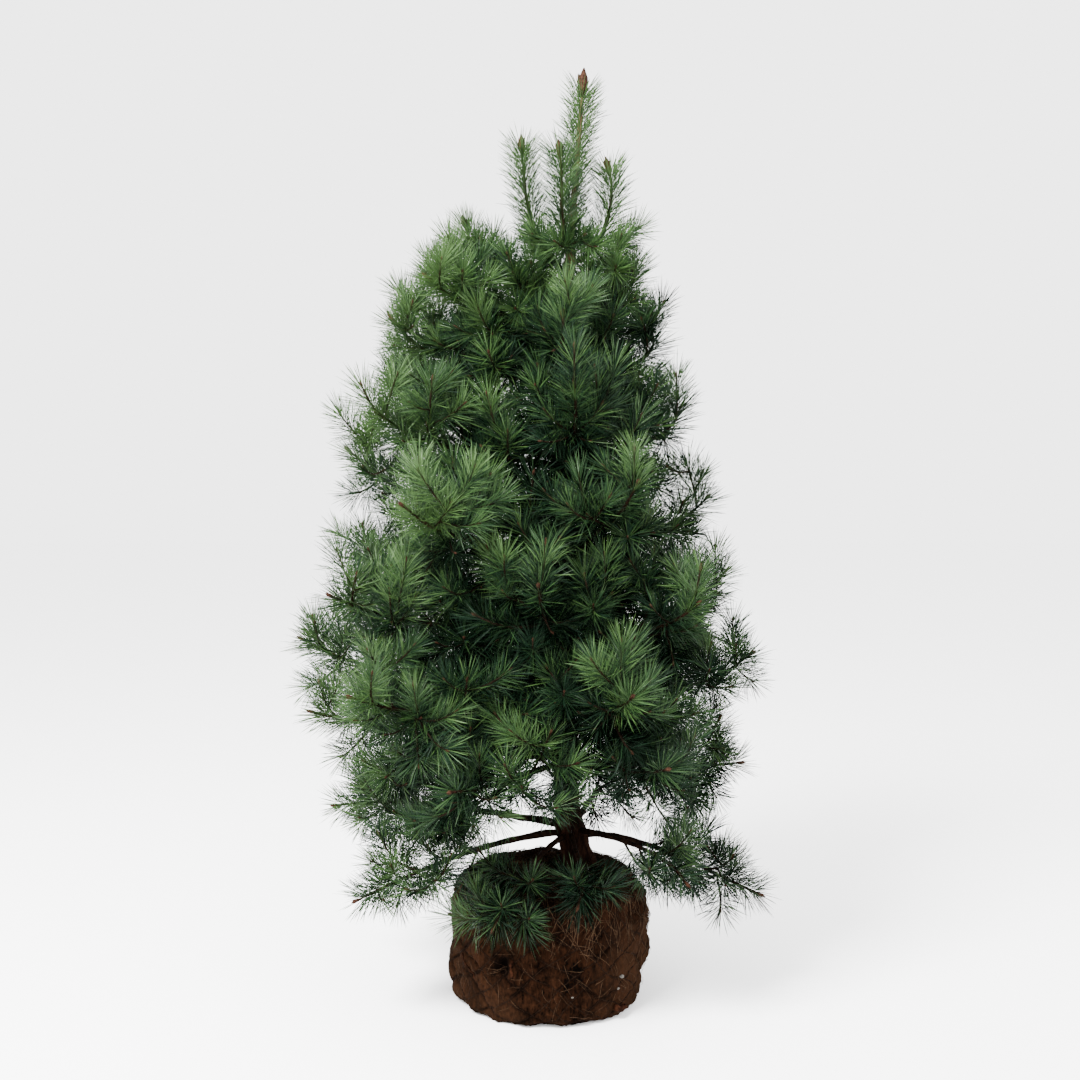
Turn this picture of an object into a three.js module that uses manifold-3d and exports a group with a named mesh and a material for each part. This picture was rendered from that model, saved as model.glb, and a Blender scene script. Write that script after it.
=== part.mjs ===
// A young Scots pine with its root ball, ready for planting, about 2.2 m tall on the ground.
// Millimetres, +Z up. The origin is the middle of the root ball's flat underside.
// The trunk leaves the top of the ball and runs up to the leader. Whorls of boughs grow from it,
// each bough ending in one mass of needles. Higher up the needles start at the trunk itself.
import * as THREE from "three";
import { mergeVertices } from "three/addons/utils/BufferGeometryUtils.js";
import Module from "manifold-3d";

const wasm = await Module();
wasm.setup();

// ---- Driving dimensions -------------------------------------------------------------------

const GAP = 0.4; // between touching solids
const MASS_GAP = 5; // between neighbouring masses of needles

const BALL = {
  radius: 230, // at the belly, before its bulges
  height: 292, // from the ground to the top of the rim
  dome: 12, // rise of the top from rim to trunk
  footRadius: 212, // flat underside
  bulge: 7, // how far the wrapped soil bulges
  sides: 24,
};

const TRUNK = {
  foot: 296, // height of the flat cut under the trunk, on top of the ball
  tip: 2105, // end of the leader, under its bud
  footRadius: 33,
  tipRadius: 4.5,
  flare: 13, // added at the foot, fading out over flareHeight
  flareHeight: 70,
  sides: 12,
  rings: 20,
};

// The trunk's lean: how far its middle stands from the ball's middle at some heights.
const LEAN = [
  { z: 250, x: 90, y: 0 },
  { z: 400, x: 50, y: 2 },
  { z: 560, x: 38, y: 4 },
  { z: 920, x: 33, y: 4 },
  { z: 1340, x: 34, y: 0 },
  { z: 1700, x: 47, y: 0 },
  { z: TRUNK.tip, x: 77, y: 0 },
];

const BOUGH = {
  footRadius: 11.5,
  endRadius: 6.5, // where it enters its mass
  sides: 8,
  rings: 4,
};

const MASS = {
  sides: 9,
  rings: 6,
  tipRadius: 44, // needles round the outermost shoot
  neckRadius: 66, // where a mass starts at the trunk
  unevenness: 0.15,
};

// Whorls of boughs from the lowest to the leader's. Each bough is
// [azimuth in degrees from +X towards +Y, reach from the trunk's middle, height of its tip].
// A mass is spread wide to each side of its bough, rises above it and hangs below it. bare is
// the share of a bough that carries no needles, and bow is how far its middle stands above
// its chord.
const WHORLS = [
  {
    name: "low",
    z: 384,
    spread: 130,
    rise: 74,
    hang: 96,
    bare: 0.34,
    bow: 36,
    boughs: [
      [356, 476, 236],
      [312, 400, 346],
      [272, 310, 292],
      [240, 380, 250],
      [204, 560, 286],
      [174, 606, 436],
      [74, 480, 390],
    ],
  },
  {
    name: "second",
    z: 548,
    spread: 158,
    rise: 88,
    hang: 118,
    bare: 0.28,
    bow: 6,
    boughs: [
      [3, 450, 546],
      [300, 450, 626],
      [240, 520, 590],
      [190, 620, 700],
      [122, 510, 630],
    ],
  },
  {
    name: "third",
    z: 700,
    spread: 158,
    rise: 88,
    hang: 136,
    bare: 0,
    bow: -12,
    boughs: [
      [350, 470, 830],
      [288, 470, 790],
      [220, 620, 780],
      [176, 656, 846],
      [112, 510, 830],
      [40, 480, 790],
    ],
  },
  {
    name: "fourth",
    z: 880,
    spread: 158,
    rise: 94,
    hang: 140,
    bare: 0,
    bow: -18,
    boughs: [
      [8, 426, 1010],
      [314, 440, 968],
      [262, 440, 1020],
      [203, 590, 978],
      [164, 556, 1040],
      [84, 480, 1020],
    ],
  },
  {
    name: "fifth",
    z: 1076,
    spread: 148,
    rise: 94,
    hang: 140,
    bare: 0,
    bow: -22,
    boughs: [
      [2, 372, 1186],
      [296, 380, 1230],
      [226, 520, 1180],
      [176, 536, 1300],
      [70, 430, 1230],
    ],
  },
  {
    name: "sixth",
    z: 1262,
    spread: 128,
    rise: 86,
    hang: 130,
    bare: 0,
    bow: -22,
    boughs: [
      [352, 306, 1400],
      [274, 310, 1440],
      [202, 476, 1380],
      [164, 464, 1462],
      [66, 350, 1440],
    ],
  },
  {
    name: "seventh",
    z: 1440,
    spread: 104,
    rise: 74,
    hang: 112,
    bare: 0,
    bow: -22,
    boughs: [
      [4, 236, 1572],
      [268, 240, 1596],
      [188, 428, 1596],
      [78, 290, 1620],
    ],
  },
  {
    name: "top",
    z: 1590,
    spread: 66,
    rise: 58,
    hang: 76,
    bare: 0,
    bow: -26,
    boughs: [
      [352, 176, 1726],
      [8, 112, 1962],
      [252, 68, 1990],
      [182, 116, 2010],
      [176, 262, 1826],
      [206, 372, 1672],
    ],
  },
];

const LEADER = { foot: 1690, tip: 2150, radius: 54 };

// ---- Small tools --------------------------------------------------------------------------

const radians = THREE.MathUtils.degToRad;
const mix = THREE.MathUtils.lerp;
const ramp = (low, high, x) => THREE.MathUtils.smoothstep(x, low, high);

// Repeatable random numbers from 0 to 1.
function seeded(seed) {
  let state = seed >>> 0;
  return () => {
    state = (state + 0x6d2b79f5) >>> 0;
    let t = Math.imul(state ^ (state >>> 15), 1 | state);
    t = (t + Math.imul(t ^ (t >>> 7), 61 | t)) ^ t;
    return ((t ^ (t >>> 14)) >>> 0) / 4294967296;
  };
}

// Several sine waves round and along a form, each phase drawn once: a smooth uneven factor.
function unevenness(random, amount) {
  const waves = [2, 3, 5].map((round) => ({
    round,
    along: 3 + 5 * random(),
    phase: 2 * Math.PI * random(),
  }));
  return (angle, t) =>
    1 +
    (amount * waves.reduce((sum, w) => sum + Math.sin(w.round * angle + w.along * t + w.phase), 0)) /
      waves.length ** 0.5;
}

// A three.js geometry as a manifold-3d solid.
function solid(geometry) {
  const bare = geometry.clone();
  bare.deleteAttribute("normal");
  bare.deleteAttribute("uv");
  const merged = mergeVertices(bare, 1e-3);
  return new wasm.Manifold(
    new wasm.Mesh({
      numProp: 3,
      vertProperties: new Float32Array(merged.attributes.position.array),
      triVerts: new Uint32Array(merged.index.array),
    }),
  );
}

// A manifold-3d solid as a three.js geometry.
function geometryOf(shape) {
  const made = shape.getMesh();
  const geometry = new THREE.BufferGeometry();
  geometry.setAttribute("position", new THREE.BufferAttribute(made.vertProperties, 3));
  geometry.setIndex(new THREE.BufferAttribute(made.triVerts, 1));
  geometry.computeVertexNormals();
  return geometry;
}

// The largest of a solid's separate bodies.
function largest(shape) {
  return shape.decompose().sort((a, b) => b.volume() - a.volume())[0];
}

// The point deep above and wide beside a line at share t. A line is a curve with the level
// direction across it.
function beside(line, t, deep, wide) {
  const top = new THREE.Vector3().crossVectors(line.curve.getTangentAt(t), line.across).normalize();
  return line.curve.getPointAt(t).addScaledVector(top, deep).addScaledVector(line.across, wide);
}

// A round limb along a line from share 0 to share end, radius(share) thick.
function limb(line, end, radius, sides, rings) {
  const geometry = new THREE.CylinderGeometry(1, 1, 1, sides, rings);
  const place = geometry.attributes.position;
  for (let i = 0; i < place.count; i++) {
    const share = place.getY(i) + 0.5;
    const r = radius(share);
    const at = beside(line, share * end, place.getX(i) * r, place.getZ(i) * r);
    place.setXYZ(i, at.x, at.y, at.z);
  }
  return solid(geometry);
}

// ---- Trunk --------------------------------------------------------------------------------

const trunkLine = {
  curve: new THREE.CatmullRomCurve3(LEAN.map((p) => new THREE.Vector3(p.x, p.y, p.z))),
  across: new THREE.Vector3(0, 1, 0),
};

function trunkRadius(share, extra) {
  const height = share * (TRUNK.tip - TRUNK.foot);
  const flare = TRUNK.flare * Math.exp(-((height / TRUNK.flareHeight) ** 1.5));
  return mix(TRUNK.tipRadius, TRUNK.footRadius, (1 - share) ** 1.1) + flare + extra;
}

// The trunk above its flat cut, or with extra added all round, the room that it needs.
function makeTrunk(extra) {
  const radius = (share) => trunkRadius(share, extra);
  return limb(trunkLine, 1, radius, TRUNK.sides, TRUNK.rings).trimByPlane([0, 0, 1], TRUNK.foot - extra);
}

// The middle of the trunk at a height.
function trunkAt(z) {
  const foot = LEAN[0].z;
  return trunkLine.curve.getPointAt((z - foot) / (TRUNK.tip - foot)).setZ(z);
}

// ---- Root ball ----------------------------------------------------------------------------

// A drum with a flat foot, an upright belly, a round shoulder and a slightly domed top, bulging
// between the wires that hold it.
function makeBall(extra) {
  const profile = [
    [0, 0],
    [BALL.footRadius, 0],
    [BALL.radius * 0.975, BALL.height * 0.07],
    [BALL.radius, BALL.height * 0.26],
    [BALL.radius * 1.01, BALL.height * 0.5],
    [BALL.radius * 0.995, BALL.height * 0.74],
    [BALL.radius * 0.95, BALL.height * 0.92],
    [BALL.radius * 0.83, BALL.height],
    [BALL.radius * 0.5, BALL.height + BALL.dome * 0.8],
    [0, BALL.height + BALL.dome],
  ].map(([r, z]) => new THREE.Vector2(r, z));
  const geometry = new THREE.LatheGeometry(profile, BALL.sides).rotateX(Math.PI / 2);
  const uneven = unevenness(seeded(5), BALL.bulge / BALL.radius);
  const place = geometry.attributes.position;
  for (let i = 0; i < place.count; i++) {
    const [x, y, z] = [place.getX(i), place.getY(i), place.getZ(i)];
    const share = z / BALL.height;
    const k = z < 1 ? 1 : uneven(Math.atan2(y, x), 2 * share);
    place.setXYZ(i, x * k, y * k, z);
  }
  const grow = (BALL.radius + extra) / BALL.radius;
  return solid(geometry.scale(grow, grow, (BALL.height + extra) / BALL.height));
}

// ---- Boughs and masses of needles ---------------------------------------------------------

// A bough's line from the trunk's middle to its tip: out first, then up or down to its tip.
function boughLine(whorl, [azimuth, reach, tipZ]) {
  const out = new THREE.Vector3(Math.cos(radians(azimuth)), Math.sin(radians(azimuth)), 0);
  const foot = trunkAt(whorl.z);
  const tip = foot.clone().addScaledVector(out, reach).setZ(tipZ);
  const middle = foot.clone().lerp(tip, 0.5);
  middle.z += 2 * whorl.bow;
  return {
    curve: new THREE.QuadraticBezierCurve3(foot, middle, tip),
    across: new THREE.Vector3(-out.y, out.x, 0),
  };
}

// Half the thickness of a mass along its bough: full between its ends.
function girth(form, full, share) {
  const body = ramp(0, 0.44, share) * (1 - ramp(0.64, 1, share));
  return mix(form.end(share), full, body);
}

// A plume round part of a line: round at both ends, broad in the middle, narrow at the tip.
function plume(line, start, form, random) {
  const geometry = new THREE.SphereGeometry(1, MASS.sides, MASS.rings);
  const place = geometry.attributes.position;
  const uneven = unevenness(random, MASS.unevenness);
  for (let i = 0; i < place.count; i++) {
    const [x, y, z] = [place.getX(i), place.getY(i), place.getZ(i)];
    const share = (1 + y) / 2;
    const t = mix(start, 1, share);
    const round = Math.hypot(x, z) ** 0.75;
    const angle = Math.atan2(z, x);
    const scale = round * uneven(angle, share);
    const wide = girth(form, form.spread, share) * scale;
    const deep = girth(form, x < 0 ? form.hang : form.rise, share) * scale;
    const at = beside(line, t, Math.cos(angle) * deep, Math.sin(angle) * wide);
    place.setXYZ(i, at.x, at.y, at.z);
  }
  return solid(geometry);
}

// Points along a mass with the room each needs, for parting it from its neighbours.
function cores(line, start, form) {
  return [0.3, 0.42, 0.54, 0.66, 0.78, 0.92].map((share) => {
    return { at: line.curve.getPointAt(mix(start, 1, share)), room: girth(form, form.rise, share) };
  });
}

// The plane that leaves two masses the most room: it starts square to the line between their
// middles and turns a little at a time towards the two cores that crowd it most.
function planeBetween(a, b) {
  const middle = (mass) =>
    mass.cores.reduce((sum, core) => sum.add(core.at), new THREE.Vector3()).divideScalar(mass.cores.length);
  const normal = middle(b).sub(middle(a)).normalize();
  const reach = (core, sign) => sign * normal.dot(core.at) + core.room;
  const furthest = (mass, sign) =>
    mass.cores.reduce((best, core) => (reach(core, sign) > reach(best, sign) ? core : best));
  for (let step = 2; step < 60; step++) {
    const turn = furthest(b, -1).at.clone().sub(furthest(a, 1).at);
    normal.addScaledVector(turn.normalize(), 1 / step).normalize();
  }
  const offset = (reach(furthest(a, 1), 1) - reach(furthest(b, -1), -1)) / 2;
  return { normal, offset };
}

// Parts two masses that meet: both are cut flat along the plane between them.
function part(a, b) {
  if (a.shape.intersect(b.shape).isEmpty()) return;
  const { normal, offset } = planeBetween(a, b);
  const away = normal.clone().negate();
  a.shape = largest(a.shape.trimByPlane([away.x, away.y, away.z], MASS_GAP / 2 - offset));
  b.shape = largest(b.shape.trimByPlane([normal.x, normal.y, normal.z], MASS_GAP / 2 + offset));
}

// ---- Assembly -----------------------------------------------------------------------------

const BARK = new THREE.MeshStandardMaterial({ color: 0x5a4032, roughness: 0.9, metalness: 0 });
const NEEDLES = new THREE.MeshStandardMaterial({ color: 0x3f6139, roughness: 0.7, metalness: 0 });
const SOIL = new THREE.MeshStandardMaterial({ color: 0x4a3222, roughness: 0.95, metalness: 0 });

const tree = new THREE.Group();

function add(name, shape, material) {
  const mesh = new THREE.Mesh(geometryOf(shape), material);
  mesh.name = name;
  tree.add(mesh);
}

const trunk = makeTrunk(0);
const trunkRoom = makeTrunk(GAP);
add("trunk", trunk, BARK);
add("root_ball", makeBall(0).subtract(trunkRoom), SOIL);

const random = seeded(20);
const masses = [];
const boughs = [];
for (const whorl of WHORLS)
  whorl.boughs.forEach((spec, i) => {
    const line = boughLine(whorl, spec);
    const start = whorl.bare || 0.02;
    const form = {
      spread: whorl.spread,
      rise: whorl.rise,
      hang: whorl.hang,
      end: (share) => mix(whorl.bare ? MASS.tipRadius : MASS.neckRadius, MASS.tipRadius, share),
    };
    masses.push({
      name: `needles_${whorl.name}_${i + 1}`,
      shape: plume(line, start, form, random),
      cores: cores(line, start, form),
    });
    if (whorl.bare) boughs.push({ name: `bough_${whorl.name}_${i + 1}`, line, end: whorl.bare });
  });

const leaderLine = {
  curve: new THREE.LineCurve3(trunkAt(LEADER.foot), trunkAt(TRUNK.tip).setZ(LEADER.tip)),
  across: trunkLine.across,
};
const leaderForm = {
  spread: LEADER.radius,
  rise: LEADER.radius,
  hang: LEADER.radius,
  end: () => LEADER.radius * 0.8,
};
masses.push({
  name: "needles_leader",
  shape: plume(leaderLine, 0, leaderForm, random),
  cores: cores(leaderLine, 0, leaderForm),
});

masses.forEach((a, i) => masses.slice(i + 1).forEach((b) => part(a, b)));

// A bough's solid from the trunk's middle to where its mass starts, or with extra added all
// round, the room that it needs.
function makeBough({ line, end }, extra) {
  const radius = (share) => mix(BOUGH.footRadius, BOUGH.endRadius, share) + extra;
  return limb(line, end - GAP / line.curve.getLength(), radius, BOUGH.sides, BOUGH.rings);
}

// What is left of a shape once every room in a list is cut out of it.
const clearOf = (shape, rooms) => largest(rooms.reduce((left, room) => left.subtract(room), shape));

// Each bough clears the trunk and the boughs before it, and the masses clear them all.
const rooms = [trunkRoom];
for (const bough of boughs) {
  add(bough.name, clearOf(makeBough(bough, 0), rooms), BARK);
  rooms.push(makeBough(bough, GAP));
}
rooms.push(makeBall(GAP));
for (const mass of masses) add(mass.name, clearOf(mass.shape, rooms), NEEDLES);

export default tree;
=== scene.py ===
"""A young pine with its root ball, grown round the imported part.

The trunk and the boughs get bark, each mass of needles becomes shoots that grow on from its bough by one
seeded rule, and the root ball gets its hessian, twine, straw and roots. Metres, +Z up.
"""

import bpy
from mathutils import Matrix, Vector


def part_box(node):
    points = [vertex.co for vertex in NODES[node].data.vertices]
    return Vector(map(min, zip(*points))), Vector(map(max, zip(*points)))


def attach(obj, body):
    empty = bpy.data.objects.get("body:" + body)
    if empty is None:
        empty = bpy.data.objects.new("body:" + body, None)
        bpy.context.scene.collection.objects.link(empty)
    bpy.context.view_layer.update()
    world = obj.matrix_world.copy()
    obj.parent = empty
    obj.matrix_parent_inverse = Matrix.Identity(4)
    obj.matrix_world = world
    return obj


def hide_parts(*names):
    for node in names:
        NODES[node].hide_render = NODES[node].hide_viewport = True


bl_info = {
    "name": "Pine with root ball",
    "version": (1, 0, 0),
    "blender": (4, 5, 0),
    "location": "View3D > Sidebar > Pine",
    "description": "Grows bark, shoots, needles and a wrapped root ball round the packed part",
    "category": "Object",
}

from typing import NamedTuple

import bpy
import numpy as np
from mathutils import Vector

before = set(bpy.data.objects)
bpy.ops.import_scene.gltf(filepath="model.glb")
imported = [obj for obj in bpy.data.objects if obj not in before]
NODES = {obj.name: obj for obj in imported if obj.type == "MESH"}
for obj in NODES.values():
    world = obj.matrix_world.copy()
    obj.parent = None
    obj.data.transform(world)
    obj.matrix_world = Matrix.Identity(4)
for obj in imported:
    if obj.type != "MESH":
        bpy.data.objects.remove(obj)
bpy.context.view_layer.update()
MASSES = sorted(name for name in NODES if name.startswith("needles_"))
BOUGHS = sorted(name for name in NODES if name.startswith("bough_"))
LEADER = "needles_leader"

WORLD_STRENGTH = 4.0
LIGHTS = {  # place, side in metres, power in watts; both look at the middle of the crown
    "key": ((-2.0, -2.6, 4.2), 1.5, 1500),
    "fill": ((3.0, -2.4, 2.4), 2.5, 120),
}
LIT_POINT = Vector((0, 0, 1.0))
CAMERA_PLACE, CAMERA_DOWN, LENS = (-0.02, -3.2, 1.30), 3.95, 45.83  # metres, degrees, millimetres

GOLDEN = np.pi * (3 - 5**0.5)  # the angle between one needle or shoot and the next round its stem
UP = np.array((0.0, 0.0, 1.0))
PATH_POINTS = 9  # points on the path of every shoot
CROWN_HEIGHTS = (0.3, 0.9, 1.3, 1.7, 2.15)
CROWN_HALF_WIDTHS = (0.5, 0.55, 0.42, 0.25, 0.1)
BARE_HEIGHTS = (0.36, 0.4, 0.51, 0.58)  # where the trunk shows bare, and how far round it no shoot ends
BARE_RADII = (0.05, 0.24, 0.24, 0.04)

# ---- Arrays of points ------------------------------------------------------------------------


def unit(vectors):
    """Each vector over its own length."""
    return vectors / np.maximum(np.linalg.norm(vectors, axis=-1, keepdims=True), 1e-9)


def mix(low, high, share):
    """low where share is 0, high where it is 1, a straight line between."""
    return low + (high - low) * share


def ramp(low, high, x):
    """A smooth step: 3t^2 - 2t^3 of how far x is from low to high."""
    t = np.clip((x - low) / (high - low), 0, 1)
    return t * t * (3 - 2 * t)


def across(along):
    """Two directions square to each given one and to each other."""
    spare = np.where(np.abs(along[..., 2:]) < 0.9, UP, np.array((1.0, 0.0, 0.0)))
    first = unit(np.cross(along, spare))
    return first, np.cross(along, first)


def waves(rng, points, count, scale, amount):
    """A smooth uneven value at each point: the mean of count sines of seeded direction and phase, scale
    metres long."""
    turns = unit(rng.normal(size=(count, 3))) * 2 * np.pi / (scale * rng.uniform(0.7, 1.4, (count, 1)))
    phase = rng.uniform(0, 2 * np.pi, count)
    return amount * np.sin(points @ turns.T + phase).sum(-1) / count**0.5


def read_triangles(node):
    """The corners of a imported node's triangles, as an array of triangles by 3 by 3."""
    mesh = NODES[node].data
    mesh.calc_loop_triangles()
    corners = np.empty(len(mesh.loop_triangles) * 3, np.int32)
    mesh.loop_triangles.foreach_get("vertices", corners)
    points = np.empty(len(mesh.vertices) * 3)
    mesh.vertices.foreach_get("co", points)
    return points.reshape(-1, 3)[corners].reshape(-1, 3, 3)


def sections(triangles, start, axis, distances):
    """The middle and the mean radius of a solid's section at each distance from start along axis. Each edge
    that crosses the section's plane gives one point of its rim, by the share of the edge at which it
    crosses."""
    a = triangles.reshape(-1, 3)
    b = triangles[:, (1, 2, 0)].reshape(-1, 3)
    height_a = (a - start) @ axis
    height_b = (b - start) @ axis
    middles, radii = [], []
    for distance in distances:
        cut = (height_a - distance) * (height_b - distance) < 0
        share = (distance - height_a[cut]) / (height_b[cut] - height_a[cut])
        rim = mix(a[cut], b[cut], share[:, None])
        middle = (rim.min(0) + rim.max(0)) / 2
        middles.append(middle)
        radii.append(np.linalg.norm(rim - middle, axis=1).mean())
    return np.array(middles), np.array(radii)


def distance_to_wall(triangles, points, aims):
    """How far each point is from the triangles along its aim: the nearest t > 0 at which point + t aim lies
    in a triangle, by solving for t and the two edge shares of every pair at once. 0 where there is none."""
    edge_1 = triangles[:, 1] - triangles[:, 0]
    edge_2 = triangles[:, 2] - triangles[:, 0]
    h = np.cross(aims[:, None], edge_2[None])
    det = (h * edge_1[None]).sum(-1)
    det = np.where(np.abs(det) < 1e-12, 1e-12, det)
    s = points[:, None] - triangles[None, :, 0]
    u = (s * h).sum(-1) / det
    q = np.cross(s, edge_1[None])
    v = (aims[:, None] * q).sum(-1) / det
    t = (edge_2[None] * q).sum(-1) / det
    hit = (u >= 0) & (v >= 0) & (u + v <= 1) & (t > 1e-4)
    nearest = np.where(hit, t, np.inf).min(1)
    return np.where(np.isfinite(nearest), nearest, 0)


def on_paths(paths, owner, share):
    """The point at a share of each owner's path and the path's direction there, straight from point to
    point."""
    last = paths.shape[1] - 1
    at = np.clip(share, 0, 1) * last
    low = np.minimum(at.astype(int), last - 1)
    a, b = paths[owner, low], paths[owner, low + 1]
    return mix(a, b, (at - low)[:, None]), unit(b - a)


# ---- Meshes from arrays ----------------------------------------------------------------------


def tube_faces(rings, sides):
    """The triangles of one closed tube of rings by sides points, with point 0 and the last point as its
    poles."""
    ring = 1 + np.arange(rings - 1)[:, None] * sides
    near, far = np.arange(sides)[None], (np.arange(sides)[None] + 1) % sides
    a, b, c, d = ring + near, ring + far, ring + sides + near, ring + sides + far
    end = 1 + (rings - 1) * sides
    pole = np.full(sides, end + sides)
    return np.concatenate(
        [
            np.stack([a, b, d], -1).reshape(-1, 3),
            np.stack([a, d, c], -1).reshape(-1, 3),
            np.stack([np.zeros(sides, int), 1 + far[0], 1 + near[0]], -1),
            np.stack([pole, end + near[0], end + far[0]], -1),
        ]
    )


def close_tubes(rings):
    """Tubes by rings by sides by 3 points as closed tubes: a pole in the middle of each end, and two
    triangles to every square of the walls. Returns the points and the triangles."""
    count, number, sides = rings.shape[:3]
    walls = rings.reshape(count, -1, 3)
    points = np.concatenate([rings[:, 0].mean(1)[:, None], walls, rings[:, -1].mean(1)[:, None]], axis=1)
    offsets = np.arange(count)[:, None, None] * points.shape[1]
    return points.reshape(-1, 3), (tube_faces(number, sides)[None] + offsets).reshape(-1, 3)


def ring_directions(paths, sides, away=None):
    """The directions from each point of each path to its ring: cos(a) first + sin(a) second, both square to
    it."""
    along = unit(np.gradient(paths, axis=1))
    if away is None:
        away = across(unit(paths[:, -1] - paths[:, 0]))[0][:, None]
    first = unit(away - along * (along * away).sum(-1, keepdims=True))
    second = np.cross(along, first)
    angle = np.linspace(0, 2 * np.pi, sides, endpoint=False)[:, None]
    return first[:, :, None] * np.cos(angle) + second[:, :, None] * np.sin(angle)


def sweep(paths, radii, sides, away=None):
    """Closed round tubes along paths: path + radius times the ring's directions."""
    return close_tubes(paths[:, :, None] + radii[:, :, None, None] * ring_directions(paths, sides, away))


def join(shapes):
    """Several (points, triangles) as one."""
    points = np.concatenate([p for p, _ in shapes])
    starts = np.cumsum([0] + [len(p) for p, _ in shapes[:-1]])
    return points, np.concatenate([f + start for (_, f), start in zip(shapes, starts)])


def make_piece(name, shape, material, replaces=(), smooth=True):
    """One object of an array of points and one of triangles, which rides on the plant."""
    points, faces = shape
    mesh = bpy.data.meshes.new(name)
    mesh.vertices.add(len(points))
    mesh.vertices.foreach_set("co", points.astype(np.float32).ravel())
    mesh.loops.add(faces.size)
    mesh.loops.foreach_set("vertex_index", faces.astype(np.int32).ravel())
    mesh.polygons.add(len(faces))
    mesh.polygons.foreach_set("loop_start", np.arange(0, faces.size, 3, dtype=np.int32))
    mesh.polygons.foreach_set("use_smooth", np.full(len(faces), smooth))
    mesh.update(calc_edges=True)
    mesh.materials.append(material)
    piece = bpy.data.objects.new(name, mesh)
    bpy.context.scene.collection.objects.link(piece)
    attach(piece, "root")
    if replaces:
        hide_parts(*replaces)
    return piece


MADE = {}


def made_once(make, settings):
    """What make returns for these settings, worked out once for all the operators that use it."""
    values = (getattr(settings, name) for name in type(settings).__annotations__)
    key = (make, *(tuple(value) if hasattr(value, "__len__") else value for value in values))
    if key not in MADE:
        MADE[key] = make(settings)
    return MADE[key]


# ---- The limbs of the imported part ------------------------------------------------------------


class Trunk:
    """The trunk's middle and radius at every height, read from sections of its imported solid."""

    def __init__(self):
        triangles = read_triangles("trunk")
        low, high = triangles[..., 2].min(), triangles[..., 2].max()
        self.heights = np.linspace(low + 0.002, high - 0.004, 60)
        self.middles, self.radii = sections(triangles, np.zeros(3), UP, self.heights)
        self.foot, self.tip = low, high

    def middle(self, height):
        height = np.asarray(height, float)
        x = np.interp(height, self.heights, self.middles[:, 0])
        y = np.interp(height, self.heights, self.middles[:, 1])
        return np.stack([x, y, height], -1)

    def radius(self, height):
        return np.interp(height, self.heights, self.radii)


def smooth_path(points):
    """A path of PATH_POINTS points: a cubic of the share along the chord, fitted to each coordinate."""
    share = np.concatenate([[0], np.cumsum(np.linalg.norm(np.diff(points, axis=0), axis=1))])
    share /= share[-1]
    weight = np.ones(len(points))
    weight[[0, -1]] = 12
    fine = np.linspace(0, 1, PATH_POINTS)
    return np.stack([np.polyval(np.polyfit(share, points[:, k], 3, w=weight), fine) for k in range(3)], -1)


def bough_axis(trunk, mass, triangles, back):
    """The path of the bough through its mass, from the trunk to back short of the mass's tip, and the share
    of the path at which the mass begins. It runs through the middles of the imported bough's and the mass's
    sections."""
    bough = mass.replace("needles_", "bough_")
    corners = triangles.reshape(-1, 3)
    if mass == LEADER:
        heights = np.linspace(corners[:, 2].min(), trunk.tip, PATH_POINTS)
        return trunk.middle(heights), 0.0
    points = []
    if bough in NODES:
        limb = read_triangles(bough)
        limb_corners = limb.reshape(-1, 3)
        clear = np.linalg.norm(limb_corners - trunk.middle(limb_corners[:, 2]), axis=1)
        near, far = limb_corners[clear.argmin()], limb_corners[clear.argmax()]
        steps = np.linalg.norm(far - near) * np.array((0.15, 0.4, 0.65, 0.9))
        points.extend(sections(limb, near, unit(far - near), steps)[0])
        foot = trunk.middle(points[0][2])
    else:
        clear = np.linalg.norm(corners - trunk.middle(corners[:, 2]), axis=1)
        foot = trunk.middle(corners[clear < np.quantile(clear, 0.08) + 1e-4][:, 2].mean())
    tip = corners[np.linalg.norm(corners - foot, axis=1).argmax()]
    axis = unit(tip - foot)
    length = (tip - foot) @ axis
    start = max(((corners - foot) @ axis).min(), 0)
    inner = 0.3 if not points else 0.12
    steps = mix(start, length, np.array((inner, 0.5, 0.7, 0.88)))
    points.extend(sections(triangles, foot, axis, steps)[0])
    path = smooth_path(np.array([foot, *points, tip - axis * back]))
    return path, (start / length if bough in NODES else 0.0)


# ---- The growing rule ------------------------------------------------------------------------


def path_lengths(paths):
    """The length of each path: the sum of its steps."""
    return np.linalg.norm(np.diff(paths, axis=1), axis=2).sum(1)


class Shoots:
    """Shoots in arrays: their paths, their foot and tip radii, the share of each that is bare of needles, the
    order of branching and the mass that each belongs to."""

    def __init__(self):
        self.paths, self.radii, self.bare, self.order, self.mass = [], [], [], [], []

    def add(self, paths, radii, bare, order, mass):
        count = len(paths)
        self.paths.append(paths)
        self.radii.append(np.broadcast_to(radii, (count, 2)))
        self.bare.append(np.broadcast_to(bare, count))
        self.order.append(np.full(count, order))
        self.mass.append(np.full(count, mass))

    def close(self):
        """Joins what was added, and measures it."""
        self.paths, self.radii = np.concatenate(self.paths), np.concatenate(self.radii)
        self.bare, self.order = np.concatenate(self.bare), np.concatenate(self.order)
        self.mass = np.concatenate(self.mass)
        self.lengths = path_lengths(self.paths)


def thin_out(spots, spacing):
    """The numbers of the spots that stay when each one is dropped that lies nearer than its spacing to one
    kept before."""
    kept = np.full_like(spots, np.inf)
    numbers = []
    for number, (spot, least) in enumerate(zip(spots, np.broadcast_to(spacing, len(spots)))):
        apart = kept[: len(numbers)] - spot
        if len(numbers) and (apart * apart).sum(1).min() < least**2:
            continue
        kept[len(numbers)] = spot
        numbers.append(number)
    return np.array(numbers)


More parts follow.
